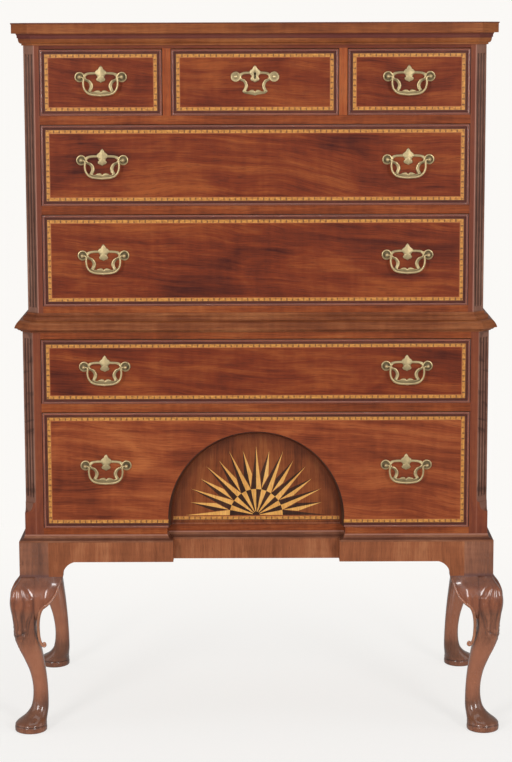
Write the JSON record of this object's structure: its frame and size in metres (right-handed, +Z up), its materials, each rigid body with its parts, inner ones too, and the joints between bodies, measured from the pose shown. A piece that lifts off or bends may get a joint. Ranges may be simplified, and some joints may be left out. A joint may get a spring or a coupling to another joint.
{
  "type": "highboy",
  "caption": "Walnut highboy: a two-part chest of cockbeaded drawers with bat-wing bail pulls and a sunburst niche, on cabriole legs with pad feet.",
  "frame": {"origin": "on the floor under the middle of the whole piece", "axes": "+Z up, +X to the viewer's right, the drawers face -Y"},
  "size_m": [1.096, 0.604, 1.5615],
  "materials": {
    "walnut_veneer": "figured walnut veneer, french polished",
    "walnut": "solid walnut, polished",
    "oak": "oak, waxed",
    "pine": "pine, planed and unfinished",
    "boxwood": "light inlay, polished",
    "dark_walnut": "dark inlay, polished",
    "brass": "cast brass, softly polished",
    "steel": "filed steel"
  },
  "bodies": {
    "case": {"upper_corner_posts": "walnut", "lower_corner_posts": "walnut", "upper_sides": "walnut_veneer", "lower_sides": "walnut_veneer", "upper_rails": "walnut", "drawer_dividers": "walnut", "lower_rails": "walnut", "upper_boards": "pine", "lower_boards": "pine", "drawer_runners": "pine", "upper_back_boards": "pine", "lower_back_boards": "pine", "cornice": "walnut", "upper_base_moulding": "walnut", "waist_moulding": "walnut", "base_moulding": "walnut", "apron_front": "walnut_veneer", "apron_sides_and_back": "walnut", "leg_front_left": "walnut", "leg_front_right": "walnut", "leg_rear_left": "walnut", "leg_rear_right": "walnut", "knee_brackets": "walnut"},
    "small_left_drawer": {"small_left_drawer_front": "walnut_veneer", "small_left_drawer_box": "oak", "small_left_pull_plates": "brass"},
    "small_left_bail": {"small_left_bail": "brass"},
    "small_centre_drawer": {"small_centre_drawer_front": "walnut_veneer", "small_centre_drawer_box": "oak", "small_centre_pull_plates": "brass", "lock_case": "brass"},
    "small_right_drawer": {"small_right_drawer_front": "walnut_veneer", "small_right_drawer_box": "oak", "small_right_pull_plates": "brass"},
    "small_right_bail": {"small_right_bail": "brass"},
    "upper_long_drawer": {"upper_long_drawer_front": "walnut_veneer", "upper_long_drawer_box": "oak", "upper_long_pull_plates": "brass"},
    "upper_long_bail_left": {"upper_long_bail_left": "brass"},
    "upper_long_bail_right": {"upper_long_bail_right": "brass"},
    "lower_long_drawer": {"lower_long_drawer_front": "walnut_veneer", "lower_long_drawer_box": "oak", "lower_long_pull_plates": "brass"},
    "lower_long_bail_left": {"lower_long_bail_left": "brass"},
    "lower_long_bail_right": {"lower_long_bail_right": "brass"},
    "shallow_drawer": {"shallow_drawer_front": "walnut_veneer", "shallow_drawer_box": "oak", "shallow_pull_plates": "brass"},
    "shallow_bail_left": {"shallow_bail_left": "brass"},
    "shallow_bail_right": {"shallow_bail_right": "brass"},
    "deep_drawer": {"deep_drawer_front": "walnut_veneer", "deep_drawer_box": "oak", "deep_pull_plates": "brass", "sunburst_niche": "walnut_veneer", "sunburst_light_rays": "boxwood", "sunburst_dark_rays": "dark_walnut"},
    "deep_bail_left": {"deep_bail_left": "brass"},
    "deep_bail_right": {"deep_bail_right": "brass"},
    "lock_bolt": {"lock_bolt": "steel"}
  },
  "joints": [
    {"name": "small_left_drawer_slide", "type": "slide", "parent": "case", "child": "small_left_drawer", "axis": [0, -1, 0], "range_m": [0, 0.4]},
    {"name": "small_left_bail_hinge", "type": "hinge", "parent": "small_left_drawer", "child": "small_left_bail", "pos_m": [-0.32975, -0.2646, 1.447], "axis": [-1, 0, 0], "range_deg": [-8, 95]},
    {"name": "small_centre_drawer_slide", "type": "slide", "parent": "case", "child": "small_centre_drawer", "axis": [0, -1, 0], "range_m": [0, 0.4]},
    {"name": "small_right_drawer_slide", "type": "slide", "parent": "case", "child": "small_right_drawer", "axis": [0, -1, 0], "range_m": [0, 0.4]},
    {"name": "small_right_bail_hinge", "type": "hinge", "parent": "small_right_drawer", "child": "small_right_bail", "pos_m": [0.32975, -0.2646, 1.447], "axis": [-1, 0, 0], "range_deg": [-8, 95]},
    {"name": "upper_long_drawer_slide", "type": "slide", "parent": "case", "child": "upper_long_drawer", "axis": [0, -1, 0], "range_m": [0, 0.4]},
    {"name": "upper_long_bail_left_hinge", "type": "hinge", "parent": "upper_long_drawer", "child": "upper_long_bail_left", "pos_m": [-0.329, -0.2646, 1.27], "axis": [-1, 0, 0], "range_deg": [-8, 95]},
    {"name": "upper_long_bail_right_hinge", "type": "hinge", "parent": "upper_long_drawer", "child": "upper_long_bail_right", "pos_m": [0.329, -0.2646, 1.27], "axis": [-1, 0, 0], "range_deg": [-8, 95]},
    {"name": "lower_long_drawer_slide", "type": "slide", "parent": "case", "child": "lower_long_drawer", "axis": [0, -1, 0], "range_m": [0, 0.4]},
    {"name": "lower_long_bail_left_hinge", "type": "hinge", "parent": "lower_long_drawer", "child": "lower_long_bail_left", "pos_m": [-0.329, -0.2646, 1.0645], "axis": [-1, 0, 0], "range_deg": [-8, 95]},
    {"name": "lower_long_bail_right_hinge", "type": "hinge", "parent": "lower_long_drawer", "child": "lower_long_bail_right", "pos_m": [0.329, -0.2646, 1.0645], "axis": [-1, 0, 0], "range_deg": [-8, 95]},
    {"name": "shallow_drawer_slide", "type": "slide", "parent": "case", "child": "shallow_drawer", "axis": [0, -1, 0], "range_m": [0, 0.4]},
    {"name": "shallow_bail_left_hinge", "type": "hinge", "parent": "shallow_drawer", "child": "shallow_bail_left", "pos_m": [-0.329, -0.2766, 0.823], "axis": [-1, 0, 0], "range_deg": [-8, 95]},
    {"name": "shallow_bail_right_hinge", "type": "hinge", "parent": "shallow_drawer", "child": "shallow_bail_right", "pos_m": [0.329, -0.2766, 0.823], "axis": [-1, 0, 0], "range_deg": [-8, 95]},
    {"name": "deep_drawer_slide", "type": "slide", "parent": "case", "child": "deep_drawer", "axis": [0, -1, 0], "range_m": [0, 0.4]},
    {"name": "deep_bail_left_hinge", "type": "hinge", "parent": "deep_drawer", "child": "deep_bail_left", "pos_m": [-0.329, -0.2766, 0.604], "axis": [-1, 0, 0], "range_deg": [-8, 95]},
    {"name": "deep_bail_right_hinge", "type": "hinge", "parent": "deep_drawer", "child": "deep_bail_right", "pos_m": [0.329, -0.2766, 0.604], "axis": [-1, 0, 0], "range_deg": [-8, 95]},
    {"name": "lock_bolt_slide", "type": "slide", "parent": "small_centre_drawer", "child": "lock_bolt", "axis": [0, 0, 1], "range_m": [0, 0.008]}
  ]
}
